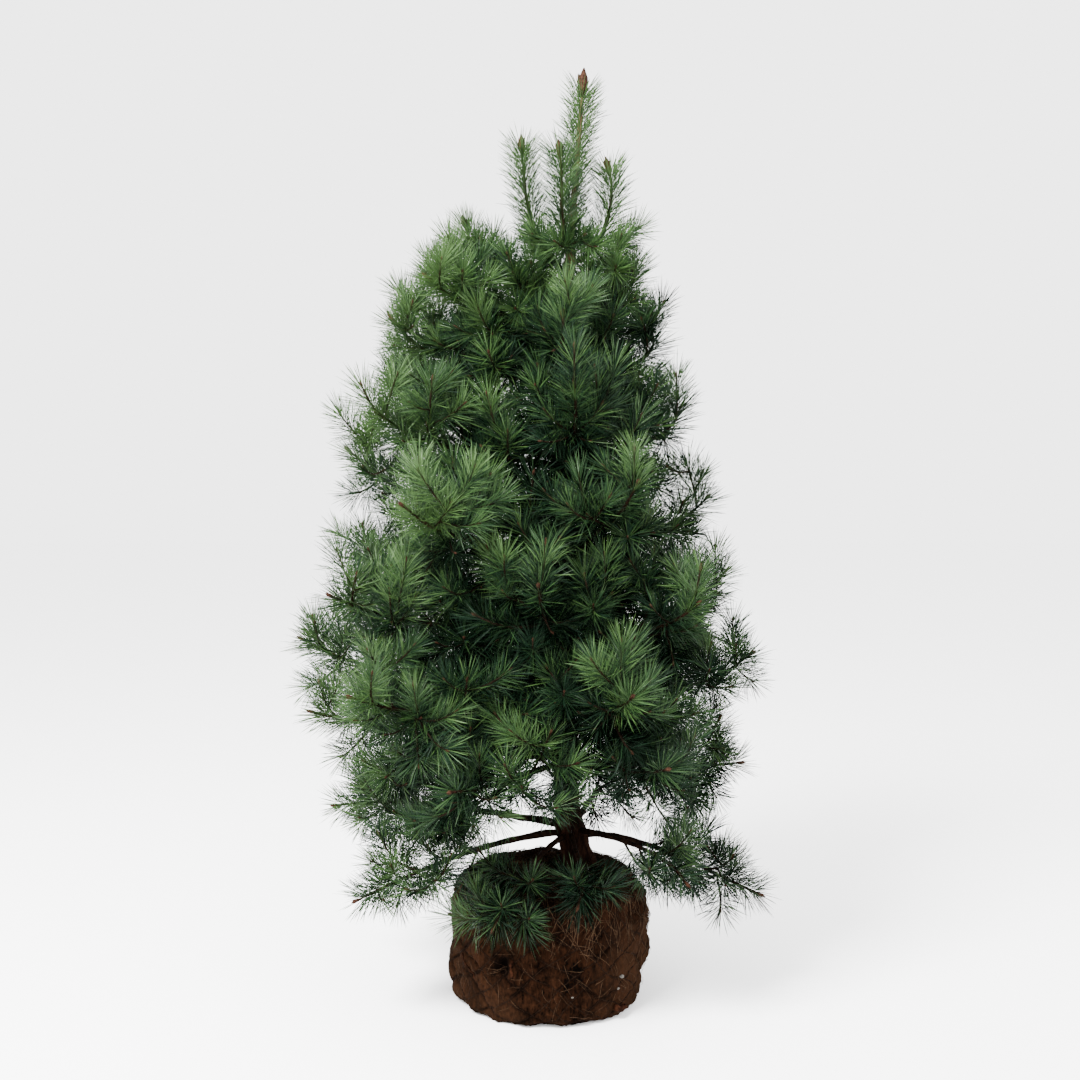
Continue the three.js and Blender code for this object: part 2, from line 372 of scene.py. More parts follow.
def places_for_tips(rng, trunk, triangles, settings):
    """Places where a mass has room for the tip of a shoot: spots drawn evenly over its wall by area, each
    pulled some way inside it. Where the wall faces the inside of the crown or a neighbour they may lie
    outside it, to fill the space between, but not below the crown or at its top."""
    edge_1, edge_2 = triangles[:, 1] - triangles[:, 0], triangles[:, 2] - triangles[:, 0]
    outward = np.cross(edge_1, edge_2)
    area = np.linalg.norm(outward, axis=1)
    face = rng.choice(len(area), int(area.sum() / settings.spacing**2 * 12), p=area / area.sum())
    u, v = rng.random((2, len(face), 1))
    u, v = np.where(u + v > 1, 1 - u, u), np.where(u + v > 1, 1 - v, v)
    walls = triangles[face, 0] + u * edge_1[face] + v * edge_2[face]
    outward = unit(outward[face])
    from_trunk = walls - trunk.middle(walls[:, 2])
    facing_out = (outward * unit(from_trunk * np.array((1, 1, 0)))).sum(1)
    height = walls[:, 2]
    away = np.linalg.norm(from_trunk[:, :2], axis=1)
    lowest = mix(0.46, 0.34, ramp(0.15, 0.3, away))
    inside_crown = ramp(lowest, lowest + 0.08, height) * (1 - ramp(1.7, 1.8, height))
    least = mix(settings.depth, -settings.beyond, (1 - ramp(0.1, 0.5, facing_out)) * inside_crown)
    deepest = 0.13
    depth = mix(least, deepest, rng.random(len(face)) ** 1.3)
    return walls - outward * depth[:, None]


def nearest_nodes(spots, nodes, along, shortest):
    """For each spot the node that a shoot reaches it from: the one of least length times 1 + 2.5 (c - 0.62)^2
    + 0.5 (1 - u), with c the cosine of the angle from the parent and u how steeply the shoot would rise.
    Nodes nearer than shortest are passed over."""
    way = spots[:, None] - nodes[None]
    length = np.linalg.norm(way, axis=2)
    cosine = (way * along[None]).sum(2) / np.maximum(length, 1e-6)
    rise = way[..., 2] / np.maximum(length, 1e-6)
    cost = length * (1 + 2.5 * (cosine - 0.62) ** 2 + 0.5 * (1 - rise)) + (length < shortest)
    return cost.argmin(1)


def reach(feet, along, spots):
    """Shoots from feet to spots: the curve (1 - s)^2 foot + 2 s (1 - s) middle + s^2 spot. Its middle is
    halfway, drawn on along the parent and down, so that the shoot's end turns up to the light."""
    length = np.linalg.norm(spots - feet, axis=1)[:, None]
    middle = (feet + spots) / 2 + length * (0.12 * along - 0.26 * UP)
    s = np.linspace(0, 1, PATH_POINTS)[None, :, None]
    return (1 - s) ** 2 * feet[:, None] + 2 * s * (1 - s) * middle[:, None] + s**2 * spots[:, None]


def room_for_tips(rng, trunk, tips, settings):
    """The spots of the whole crown that get a shoot's tip, and the mass of each. They are taken in a random
    order after the boughs' own tips, and one too near to another taken before is dropped. None lie round the
    bare foot of the trunk, or above the height from which the boughs are single shoots."""
    spots, home = [tips], [np.arange(len(MASSES))]
    for index, mass in enumerate(MASSES):
        if mass != LEADER:
            spots.append(places_for_tips(rng, trunk, read_triangles(mass), settings))
            home.append(np.full(len(spots[-1]), index))
    spots, home = np.concatenate(spots), np.concatenate(home)
    first = len(tips)
    order = np.concatenate([np.arange(first), first + rng.permutation(len(spots) - first)])
    spacing = settings.spacing * (1 - 0.2 * ramp(1.25, 1.55, spots[:, 2]))
    spacing[:first] = 0
    kept = order[thin_out(spots[order], spacing[order])][first:]
    spots, home = spots[kept], home[kept]
    from_trunk = (spots - trunk.middle(spots[:, 2])) * (1, 0.6, 1)
    clear = np.linalg.norm(from_trunk, axis=1) > np.interp(spots[:, 2], BARE_HEIGHTS, BARE_RADII)
    clear &= spots[:, 2] < settings.single_above
    return spots[clear], home[clear]


def branch(shoots, bough, begins, spots, mass, settings):
    """Side shoots from a bough's whorls of nodes to the widest spread of its spots, then twigs to the spots
    between, each from the nearest node of the bough or of a side shoot."""
    number = int(path_lengths(bough[None])[0] * (1 - 0.6 * begins) / settings.node_spacing) + 1
    shares = np.linspace(mix(0.1, 0.5, begins / 0.4) if begins else 0.12, 0.9, number)
    nodes, along = on_paths(bough[None], np.zeros(number, int), shares)
    far = thin_out(spots, settings.spacing * 2.1)
    chosen = nearest_nodes(spots[far], nodes, along, 0.06)
    side = reach(nodes[chosen], along[chosen], spots[far])
    length = path_lengths(side)
    bare = np.clip(1 - settings.clothed / length, 0.1, 0.9)
    thick = np.clip(0.0022 + 0.009 * length, 0.0025, 0.005)
    shoots.add(side, np.stack([thick, np.full(len(side), 0.002)], -1), bare, 1, mass)
    owner, share = np.meshgrid(np.arange(len(side)), np.array((0.25, 0.45, 0.65, 0.85)), indexing="ij")
    more, more_along = on_paths(side, owner.ravel(), share.ravel())
    nodes, along = np.concatenate([nodes, more]), np.concatenate([along, more_along])
    rest = np.delete(spots, far, axis=0)
    if len(rest):
        chosen = nearest_nodes(rest, nodes, along, 0.045)
        twigs = reach(nodes[chosen], along[chosen], rest)
        bare = np.clip(1 - 0.8 * settings.clothed / path_lengths(twigs), 0.12, 0.9)
        shoots.add(twigs, (0.0024, 0.0018), bare, 2, mass)


def grow(settings):
    """Every shoot of the crown, by one rule: a bough through each mass, clothed in needles for a longer
    stretch the higher it ends, and branches from it to the spots that lie in the mass and clear of the
    bough."""
    rng = np.random.default_rng(settings.seed)
    trunk = Trunk()
    back = settings.needle_length * 0.5
    boughs = [bough_axis(trunk, mass, read_triangles(mass), back) for mass in MASSES]
    spots, home = room_for_tips(rng, trunk, np.array([path[-1] for path, _ in boughs]), settings)
    shoots = Shoots()
    for index, (path, begins) in enumerate(boughs):
        length = path_lengths(path[None])[0]
        clothed = settings.clothed * np.interp(path[-1, 2], (0.9, 1.6, 2.0), (1, 2.2, 4.3))
        bare = max(begins, 1 - clothed / length)
        shoots.add(path[None], (0.004 + 0.011 * min(length, 0.6), 0.0026), bare, 0, index)
        mine = spots[home == index]
        mine = mine[np.linalg.norm(mine[:, None] - path[None], axis=2).min(1, initial=1) > 0.045]
        if len(mine):
            branch(shoots, path, begins, mine, index, settings)
    shoots.close()
    return shoots


def sun_on(shoots):
    """How much light each shoot gets: the share of the crown's half width at which its tip stands, or up to
    1.05 at the crown's top, and more where it points up."""
    tips = shoots.paths[:, -1]
    outward = np.linalg.norm((tips - Trunk().middle(tips[:, 2]))[:, :2], axis=1)
    sideways = outward / np.interp(tips[:, 2], CROWN_HEIGHTS, CROWN_HALF_WIDTHS)
    from_above = 1.05 * ramp(1.35, 1.75, tips[:, 2])
    upright = unit(tips - shoots.paths[:, PATH_POINTS // 2])[:, 2]
    return np.maximum(sideways, from_above) + 0.25 * upright


def needle_angles(rng, shoots, owner, from_bud):
    """How far each needle leans from its shoot, in radians. It leans least at the bud and most from 5 cm
    below it on. Low shoots are open stars, long ones and high ones are narrower plumes, and the long shoots
    at the very top spread evenly from bud to foot."""
    height = shoots.paths[:, -1, 2]
    plume = 12 * ramp(1.35, 1.8, height) * ramp(2.0, 1.9, height)
    most = (np.where(shoots.lengths > 0.3, 52, 62) - plume)[owner]
    least = mix(28, 50, ramp(1.85, 1.95, height))[owner]
    return np.radians(mix(least, most, ramp(-0.01, 0.05, from_bud))) + rng.normal(0, 0.21, len(owner))


def needle_shapes(rng, shoots, settings):
    """Closed four-faced needles in pairs. A needle's four points are its foot, two shoulders and its tip. The
    shoulders stand half the thickness off the straight line, 0.3 and 0.75 of the way along it and a third of
    a turn apart, which makes a blade of nearly even width. Needle k of a shoot stands at share (k + random) /
    count of its clothed part, turned k times the golden angle round it. A shoot in the light has more of
    them, one in the shade has thicker ones. Returns the needles' points, the shoot of each, and how far each
    stands from its bud, as a share of the clothed part."""
    sun = sun_on(shoots)
    clothed = shoots.lengths * (1 - shoots.bare)
    top = np.interp(shoots.paths[:, -1, 2], (1.5, 1.9, 2.0), (1, 1.3, 1.5))
    vigour = np.clip(0.55 + 0.6 * sun, 0.6, 1.15) * top
    count = 2 * np.ceil(clothed * settings.density * vigour / 2 + 5).astype(int)
    owner = np.repeat(np.arange(len(count)), count)
    rank = np.arange(len(owner)) - np.repeat(np.cumsum(count) - count, count)
    pair = rank // 2
    spread = np.clip((2 * pair + rng.random(len(owner))) / count[owner], 0, 1) ** 0.85
    share = mix(shoots.bare[owner], 0.97, spread)
    feet, along = on_paths(shoots.paths, owner, share)
    first, second = across(along)
    angle = GOLDEN * pair + rng.normal(0, 0.2, len(owner)) + np.where(rank % 2, 0.12, -0.12)
    spoke = first * np.cos(angle)[:, None] + second * np.sin(angle)[:, None]
    lean = needle_angles(rng, shoots, owner, (1 - share) * shoots.lengths[owner])
    aims = unit(along * np.cos(lean)[:, None] + spoke * np.sin(lean)[:, None] + UP * 0.16)
    size = np.clip(0.72 + 2.4 * shoots.lengths, 0.8, 1.05)[owner] * rng.uniform(0.8, 1.08, len(owner))
    whole = aims * (settings.needle_length * size)[:, None]
    side, face = across(aims)
    turn = rng.uniform(0, 2 * np.pi, len(owner))[:, None, None] + np.array(((0.0,), (2 * np.pi / 3,)))
    half = settings.needle_width / 2 * mix(1.35, 1.0, ramp(0.3, 0.8, sun))[owner]
    off = half[:, None, None] * (side[:, None] * np.cos(turn) + face[:, None] * np.sin(turn))
    shoulders = feet[:, None] + whole[:, None] * np.array(((0.3,), (0.75,))) + off
    points = np.concatenate([feet[:, None], shoulders, (feet + whole)[:, None]], axis=1)
    return points, owner, 1 - spread


def deal_tints(rng, shoots, owner, from_bud, settings):
    """The number of each needle's tint, the same for a whole spray, as painted light and shade. Sprays are put
    in order of their light, which is the shoot's, less towards its foot, with some chance in it, and take the
    tints
    in that order: a little more of them take a darker one than a brighter one."""
    spray = np.arange(len(owner)) // settings.spray
    # painted shade: sprays darker towards each shoot's foot and on shoots that get less light
    lit = (sun_on(shoots) + 0.16 * rng.normal(size=len(shoots.lengths)))[owner] - 0.35 * from_bud
    lit = np.bincount(spray, lit) / np.bincount(spray) + 0.3 * rng.normal(size=spray[-1] + 1)
    brighter_than = np.argsort(np.argsort(lit)) / len(lit)
    return (brighter_than**1.2 * len(NEEDLE_TINTS)).astype(int)[spray]


def needle_faces(count):
    """The four triangles of each of count needles, whose points are the foot, the shoulders and the tip."""
    template = np.array(((0, 2, 1), (0, 1, 3), (0, 3, 2), (1, 2, 3)))
    return (template[None] + 4 * np.arange(count)[:, None, None]).reshape(-1, 3)


def bud_shapes(rng, shoots):
    """Buds at the shoots' tips: one long bud with smaller ones leaning out round it, four on a bough or side
    shoot and two on a twig. A bud is a tube whose radius is 0.7, 1, 0.85 and 0.12 of its thickness along its
    length. The leader's are the largest and a twig's the smallest."""
    last = shoots.paths[:, -1]
    along = unit(last - shoots.paths[:, -2])
    first, second = across(along)
    size = np.array((1.3, 1.0, 0.8))[shoots.order]
    on_bough = np.interp(last[:, 2], (1.5, 1.9, 2.0, 2.1), (1.3, 2.4, 2.6, 3.9))
    size = np.where(shoots.order == 0, on_bough, size)
    s = np.array((-0.25, 0.15, 0.6, 1.0))
    shapes = []
    for number, share, tilt in ((1, 1.0, 0.0), (4, 0.7, 0.3)):
        for k in range(number):
            has = np.ones(len(last), bool) if k < 2 else shoots.order < 2
            angle = 2 * np.pi * k / number * np.where(shoots.order < 2, 1, 2) + rng.uniform(0, 0.6, len(last))
            aims = unit(along + tilt * (first * np.cos(angle)[:, None] + second * np.sin(angle)[:, None]))
            length = 0.0135 * share * size * rng.uniform(0.85, 1.15, len(last))
            paths = last[:, None] + aims[:, None] * length[:, None, None] * s[None, :, None]
            radii = (0.0032 * (size * share) ** 0.95)[:, None] * np.array((0.7, 1, 0.85, 0.12))
            shapes.append(sweep(paths[has], radii[has], 4))
    return join(shapes)


# ---- Trunk and boughs ------------------------------------------------------------------------


def bark_relief(rng, points, size):
    """How far the bark stands out at each point: long plates, the mean of seeded waves stretched four times
    up the stem and folded by their absolute value, so that the cracks between plates are sharp, with finer
    scales on top."""
    stretched = points * np.array((1, 1, 0.25))
    plates = 1 - 2 * np.abs(waves(rng, stretched, 5, 0.016, 1.0))
    scales = waves(rng, points, 6, 0.011, 1.0)
    return size * (0.75 * plates + 0.4 * scales)


def trunk_shape(rng, trunk, feet, settings):
    """The trunk's wall on a grid of height and angle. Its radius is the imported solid's, plus the bark's
    relief, the root flare's lobes that fade out upwards, and a collar round the foot of each bough: a bell
    curve of its distance."""
    share = np.linspace(0, 1, 300) ** 1.25
    heights = mix(trunk.foot, trunk.tip, share)
    middle = trunk.middle(heights)
    radius = trunk.radius(heights)
    spokes = ring_directions(middle[None], 52, np.array((1.0, 0, 0)))[0]
    angle = np.arctan2(spokes[..., 1], spokes[..., 0])
    skin = middle[:, None] + spokes * radius[:, None, None]
    relief = bark_relief(rng, skin, settings.bark_depth) * np.clip(radius / 0.03, 0.15, 1)[:, None]
    fade = np.exp(-(((heights - trunk.foot) / 0.05) ** 2))[:, None]
    flare = fade * (0.004 * np.cos(5 * angle + 1) + 0.003 * np.cos(3 * angle + 2.2))
    collar = np.zeros(angle.shape)
    for foot in feet:
        collar += 0.004 * np.exp(-((np.linalg.norm(skin - foot, axis=-1) / 0.018) ** 2))
    end = 1 - ramp(0.985, 1, share)[:, None] * 0.5
    wall = middle[:, None] + spokes * (radius[:, None] * end + relief + flare + collar)[..., None]
    return close_tubes(wall[None])


def limb_shape(rng, paths, radii, sides, depth):
    """Tapering limbs with an uneven skin: sweep's rings, each point moved out by waves as deep as depth."""
    spokes = ring_directions(paths, sides)
    skin = paths[:, :, None] + spokes * radii[:, :, None, None]
    rough = waves(rng, skin, 6, 0.02, depth) * (radii / radii.max())[:, :, None]
    return close_tubes(skin + spokes * rough[..., None])


def finer(paths, factor):
    """The same paths with factor times as many steps: four-point (Catmull-Rom) curves through the points."""
    before, after = 2 * paths[:, :1] - paths[:, 1:2], 2 * paths[:, -1:] - paths[:, -2:-1]
    padded = np.concatenate([before, paths, after], axis=1)
    steps = paths.shape[1] - 1
    at = np.arange(steps * factor + 1) / factor
    low = np.minimum(at.astype(int), steps - 1)
    t = (at - low)[None, :, None]
    a, b, c, d = (padded[:, low + k] for k in range(4))
    return 0.5 * (2 * b + (c - a) * t + (2 * a - 5 * b + 4 * c - d) * t**2 + (3 * b - a - 3 * c + d) * t**3)


# ---- Root ball -------------------------------------------------------------------------------


ROOTS = (  # cut roots on the skin: azimuth, polar angle, turn from straight down, length, thickness
    (-1.93, 1.63, 0.1, 0.036, 0.006),
    (-0.77, 2.08, 1.35, 0.045, 0.013),
    (-2.5, 1.75, 0.5, 0.07, 0.003),
    (0.9, 1.6, 0.4, 0.07, 0.008),
    (2.2, 1.8, 1.1, 0.06, 0.007),
    (1.6, 1.45, 0.2, 0.1, 0.004),
)
STONES = (  # azimuth, polar angle, radius
    (-0.764, 1.8, 0.0048),
    (-0.83, 1.89, 0.0032),
    (-1.34, 1.9, 0.0025),
    (0.5, 1.7, 0.004),
    (2.7, 1.95, 0.0045),
)
STRAW = (  # count, azimuths, polar angles, length, thickness, how far it turns from straight down
    (520, (-3.14, 3.14), (0.7, 2.1), 0.045, 0.0011, 1.1),
    (700, (-3.14, 3.14), (0.3, 1.1), 0.06, 0.0014, 0.9),
    (170, (-1.6, 0.3), (0.8, 1.45), 0.08, 0.0014, 0.4),
)
SOIL_WAVES = (  # how many waves, their length, their height, and under 1 where drawn out upwards
    (9, 0.08, 0.0028, 1),
    (14, 0.03, 0.0014, 1),
    (14, 0.014, 0.0010, 1),
    (16, 0.010, 0.0011, 0.3),
    (16, 0.006, 0.0006, 1),
)
KNOBS = (  # bulges of the wrap: azimuth, polar angle, width in radians, height
    (0.05, 1.18, 0.1, 0.011),
    (-0.12, 1.72, 0.09, 0.01),
    (0.3, 1.4, 0.12, 0.006),
    (2.6, 1.3, 0.14, 0.008),
    (1.7, 1.8, 0.12, 0.007),
)


class Ball:
    """The root ball's skin as a distance from its middle in every direction, on a grid of polar angle by
    azimuth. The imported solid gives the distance, smoothed, and the wrap adds pillows between the strands of
    its net, creases, clods and a torn hole."""

    POLAR, AZIMUTH = 190, 420
    STRANDS = 17  # strands of each family, round the ball
    SLOPE = 0.74  # how far round a strand runs, in radians, for one ball radius of height
    CREASE_DEPTH, HOLE_DEPTH = 0.0065, 0.024
    HOLE_POLAR, HOLE_WIDE, HOLE_TALL = 1.62, 0.06, 0.085  # in radians

    def __init__(self, settings):
        rng = np.random.default_rng(settings.seed)
        low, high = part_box("root_ball")
        self.middle = np.array((0, 0, (low[2] + high[2]) / 2))
        rows = np.linspace(0.0, np.pi, self.POLAR)
        columns = np.linspace(-np.pi, np.pi, self.AZIMUTH, endpoint=False)
        polar, azimuth = np.meshgrid(rows, columns, indexing="ij")
        aims = self.direction(polar, azimuth)
        smooth = self.packed_distance(aims)
        skin = self.middle + aims * smooth[..., None]
        deep = np.clip(0.5 + waves(rng, skin, 6, 0.11, 0.8), 0.05, 1.25)
        self.groove = self.near_strand(polar, azimuth) * deep
        rough = sum(waves(rng, skin * (1, 1, rise), *wave) for *wave, rise in SOIL_WAVES)
        self.dry = np.clip(0.5 + 0.4 * np.cos(2 * azimuth) + waves(rng, skin, 7, 0.2, 0.35), 0, 1)
        hole = settings.hole_azimuth, self.HOLE_POLAR, self.HOLE_WIDE, self.HOLE_TALL
        self.hole = self.bell(azimuth, polar, *hole)
        rough -= self.CREASE_DEPTH * self.groove + self.HOLE_DEPTH * self.hole
        for at, height, wide, out in KNOBS:
            rough += out * self.bell(azimuth, polar, at, height, wide, wide)
        self.distance = smooth + rough * (1 - ramp(2.2, 2.3, polar))
        self.skin = self.middle + aims * self.distance[..., None]
        self.skin[..., 2] = np.maximum(self.skin[..., 2], 0.0)

    def packed_distance(self, aims):
        """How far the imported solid's wall is from the middle along each aim, smoothed three times by the mean
        of 13 neighbours round the ball and of 5 up and down it."""
        triangles = read_triangles("root_ball")
        rows = [distance_to_wall(triangles, np.broadcast_to(self.middle, row.shape), row) for row in aims]
        smooth = np.array(rows)
        for _ in range(3):
            smooth = sum(np.roll(smooth, k, axis=1) for k in range(-6, 7)) / 13
            padded = np.pad(smooth, ((2, 2), (0, 0)), mode="edge")
            smooth = sum(padded[k : k + self.POLAR] for k in range(5)) / 5
        return smooth

    def near_strand(self, polar, azimuth):
        """1 in the middle of a strand of the net, down a bell curve with the distance from it, and 0 at the
        ball's top and underside. A strand of one family or the other lies where the azimuth plus or minus the
        height over SLOPE, counted in strands, is a whole number."""
        upright = 1 / np.tan(np.clip(polar, 0.3, np.pi - 0.3))
        around = azimuth + self.wander(azimuth, upright)
        strands = [(around + side * upright / self.SLOPE) * self.STRANDS / (2 * np.pi) for side in (1, -1)]
        away = np.minimum(*(np.abs(strand - np.round(strand)) for strand in strands))
        return np.exp(-((away / 0.075) ** 2)) * ramp(0.62, 0.95, polar) * (1 - ramp(2.1, 2.3, polar))

    @staticmethod
    def direction(polar, azimuth):
        return np.stack([np.sin(polar) * np.cos(azimuth), np.sin(polar) * np.sin(azimuth), np.cos(polar)], -1)

    @staticmethod
    def wander(azimuth, upright):
        """How far the net's strands stray sideways, in radians."""
        return 0.07 * np.sin(3 * azimuth + 4 * upright) + 0.045 * np.sin(7 * azimuth - 6 * upright + 1)

    @staticmethod
    def bell(azimuth, polar, at, height, wide, tall):
        """A bell curve round one place on the skin."""
        away = (azimuth - at + np.pi) % (2 * np.pi) - np.pi
        return np.exp(-((away / wide) ** 2) - ((polar - height) / tall) ** 2)

    def at(self, azimuth, polar, proud=0.0):
        """Points on the skin, proud metres outside it: the grid's distance, weighed between its four
        neighbours."""
        row = np.clip(polar / np.pi * (self.POLAR - 1), 0, self.POLAR - 1.001)
        column = (azimuth + np.pi) % (2 * np.pi) / (2 * np.pi) * self.AZIMUTH
        r, c = row.astype(int), column.astype(int) % self.AZIMUTH
        d = (c + 1) % self.AZIMUTH
        fr, fc = row - r, column - column.astype(int)
        near = mix(self.distance[r, c], self.distance[r, d], fc)
        far = mix(self.distance[r + 1, c], self.distance[r + 1, d], fc)
        return self.middle + self.direction(polar, azimuth) * (mix(near, far, fr) + proud)[..., None]

    def shape(self):
        """The skin's grid, closed at both poles."""
        return close_tubes(self.skin[None, 1:-1, ::-1])

    def net(self):
        """The net's strands: two families that cross, each strand a thin tube that follows its groove."""
        turn = np.linspace(0, 1, 90)
        polar = mix(0.6, 2.22, turn)[None]
        upright = 1 / np.tan(polar)
        number = np.arange(self.STRANDS)[:, None] * 2 * np.pi / self.STRANDS
        paths = []
        for side in (1, -1):
            azimuth = number - side * upright / self.SLOPE
            for _ in range(3):
                azimuth = number - side * upright / self.SLOPE - self.wander(azimuth, upright)
            paths.append(self.at(azimuth, np.broadcast_to(polar, azimuth.shape), 0.0004))
        paths = np.concatenate(paths)
        return sweep(paths, np.full(paths.shape[:2], 0.0011), 5, unit(paths - self.middle))


def straw(rng, ball, count, azimuths, polars, length, width, droop):
    """Loose dry needles and stalks that lie on the ball: each starts on the skin and runs along it, turned at
    random about straight down, bending by the square of the way along it and lifting off a little."""
    azimuth = rng.uniform(*azimuths, count)
    polar = rng.uniform(*polars, count)
    starts = ball.at(azimuth, polar, width * 0.5)
    outward = unit(starts - ball.middle)
    down = unit(-UP + outward * (outward @ UP)[:, None])
    aside = np.cross(down, outward)
    turn = rng.normal(0, droop, count)[:, None]
    aims = unit(down * np.cos(turn) + aside * np.sin(turn))
    lengths = (length * rng.uniform(0.5, 1.3, count))[:, None]
    s = np.linspace(-0.5, 0.5, 5)
    bend = rng.normal(0, 0.48, (count, 1, 1)) * (s**2)[None, :, None] * aside[:, None] * lengths[:, None]
    paths = starts[:, None] + aims[:, None] * lengths[:, None] * s[None, :, None] + bend
    apart = paths - ball.middle
    far = np.linalg.norm(apart, axis=-1)
    under = ball.at(np.arctan2(apart[..., 1], apart[..., 0]), np.arccos(apart[..., 2] / far))
    lift = rng.uniform(0.0, 0.006, count)[:, None] + width * 0.4
    off_middle = np.linalg.norm(under - ball.middle, axis=-1) + lift
    paths = ball.middle + apart * (off_middle / far)[..., None]
    paths[..., 2] = np.maximum(paths[..., 2], width)
    radii = width * rng.uniform(0.6, 1.2, (count, 1)) * np.array((0.8, 1, 0.9, 0.7, 0.25)) / 2
    return sweep(paths, radii, 4)


def above_ground(shape):
    """The same shape with nothing below the level that the ball stands on."""
    points, faces = shape
    return np.maximum(points, (-np.inf, -np.inf, 0.0002)), faces


def cut_roots(ball):
    """Cut roots that lie on the wrap and sink into it at their lower end: tubes through points on the skin,
    whose azimuth and polar angle run on with the root's length over the ball's radius and wave a little."""
    s = np.linspace(-0.5, 0.5, 9)
    shapes = []
    for azimuth, polar, turn, length, thickness in ROOTS:
        along = length / 0.23 * s
        azimuths = azimuth + along * np.sin(turn) + 0.008 * np.sin(9 * s)
        polars = polar + along * np.cos(turn) + 0.006 * np.sin(7 * s + 1)
        path = ball.at(azimuths, polars, thickness * (0.45 - 1.2 * (s > 0.45)))
        radii = thickness / 2 * (1 - 0.25 * s + 0.08 * np.sin(14 * s))
        shapes.append(sweep(path[None], radii[None], 10))
    return join(shapes)


def stone_shapes(rng, ball):
    """Small stones in the soil: rings of radius r sin(polar), each point moved by waves of a sixth of r."""
    around = np.linspace(0, 2 * np.pi, 10, endpoint=False)
    polars, azimuths = np.meshgrid(np.linspace(0.25, np.pi - 0.25, 7), around, indexing="ij")
    aims = Ball.direction(polars, azimuths) * np.array((1.2, 1, 0.8))
    shapes = []
    for azimuth, polar, radius in STONES:
        middle = ball.at(np.array(azimuth), np.array(polar), radius * 0.3)
        bumps = waves(rng, aims * radius, 5, radius * 1.5, radius / 6)
        shapes.append(close_tubes((middle + aims * (radius + bumps)[..., None])[None, :, ::-1]))
    return join(shapes)


# ---- Materials -------------------------------------------------------------------------------


class Mottled(NamedTuple):
    """A mottled finish: its two colours, its roughness, the scales of its patches and its grain, how far the
    pattern is squeezed along each axis, and the strength of its bump and its depth in metres."""

    dark: tuple
    light: tuple
    roughness: float
    patches: float
    grain: float
    squeeze: tuple = (1, 1, 1)  # under 1 draws the pattern out along that axis
    bump: float = 0.4
    relief: float = 0.002


FINISHES = {
    "trunk bark": Mottled(
        (0.003, 0.0014, 0.0010), (0.020, 0.0088, 0.0052), 0.85, 26, 120, (1, 1, 0.3), bump=0.6, relief=0.003
    ),
    "bough bark": Mottled((0.0025, 0.0014, 0.0010), (0.014, 0.0070, 0.0043), 0.85, 40, 160, bump=0.5),
    "twig bark": Mottled((0.0030, 0.0018, 0.0012), (0.0135, 0.0080, 0.0053), 0.8, 60, 300, relief=0.001),
    "bud scales": Mottled(
        (0.0100, 0.0045, 0.0030), (0.040, 0.0190, 0.0115), 0.6, 150, 500, bump=0.3, relief=0.0006
    ),
    "soil in hessian": Mottled(
        (0.0004, 0.0002, 0.0001), (0.0135, 0.0053, 0.0024), 0.95, 20, 150, (1, 1, 0.5), bump=1.0, relief=0.005
    ),
    "twine": Mottled((0.002, 0.0012, 0.0008), (0.012, 0.0065, 0.004), 0.9, 200, 600),
    "straw": Mottled((0.009, 0.0048, 0.0028), (0.048, 0.0280, 0.0160), 0.8, 30, 200),
    "root bark": Mottled((0.003, 0.0011, 0.0006), (0.023, 0.0082, 0.0040), 0.9, 50, 240),
    "stone": Mottled((0.03, 0.027, 0.023), (0.14, 0.132, 0.12), 0.8, 150, 700),
}
CREASE_SHADE = (0.0012, 0.0007, 0.0005)  # painted shade: the dark colour put in the wrap's creases and in its torn hole
NEEDLE_TINTS = {  # painted light and shade: one green, darkest for sprays in shade, brightest for sprays in full light
    "shaded": (0.0004, 0.0012, 0.0005),
    "deep": (0.0013, 0.0042, 0.0018),
    "blue": (0.0027, 0.0092, 0.0043),
    "middle": (0.0048, 0.0146, 0.0050),
    "fresh": (0.0084, 0.0228, 0.0063),
    "bright": (0.0142, 0.0350, 0.0083),
    # painted light: the brightest tint, for the most lit sprays, mostly near the buds of outer and top shoots
    "tip": (0.0245, 0.0530, 0.0125),
}


def new_material(name, color, roughness, gloss=0.01):
    """A material whose colour, roughness and gloss stand on its Principled shader's own sockets."""
    material = bpy.data.materials.new(name)
    material.use_nodes = True
    shader = material.node_tree.nodes["Principled BSDF"]
    shader.inputs["Base Color"].default_value = (*color, 1)
    shader.inputs["Roughness"].default_value = roughness
    shader.inputs["Specular IOR Level"].default_value = gloss
    material.diffuse_color = (*color, 1)
    return material


def new_group(name, inputs, outputs):
    """An empty shader node group with named sockets. inputs maps a name to (kind, default)."""
    group = bpy.data.node_groups.new(name, "ShaderNodeTree")
    for socket, (kind, default) in inputs.items():
        made = group.interface.new_socket(name=socket, in_out="INPUT", socket_type=f"NodeSocket{kind}")
        made.default_value = default
    for socket, kind in outputs.items():
        group.interface.new_socket(name=socket, in_out="OUTPUT", socket_type=f"NodeSocket{kind}")
    return group, group.nodes.new("NodeGroupInput"), group.nodes.new("NodeGroupOutput")


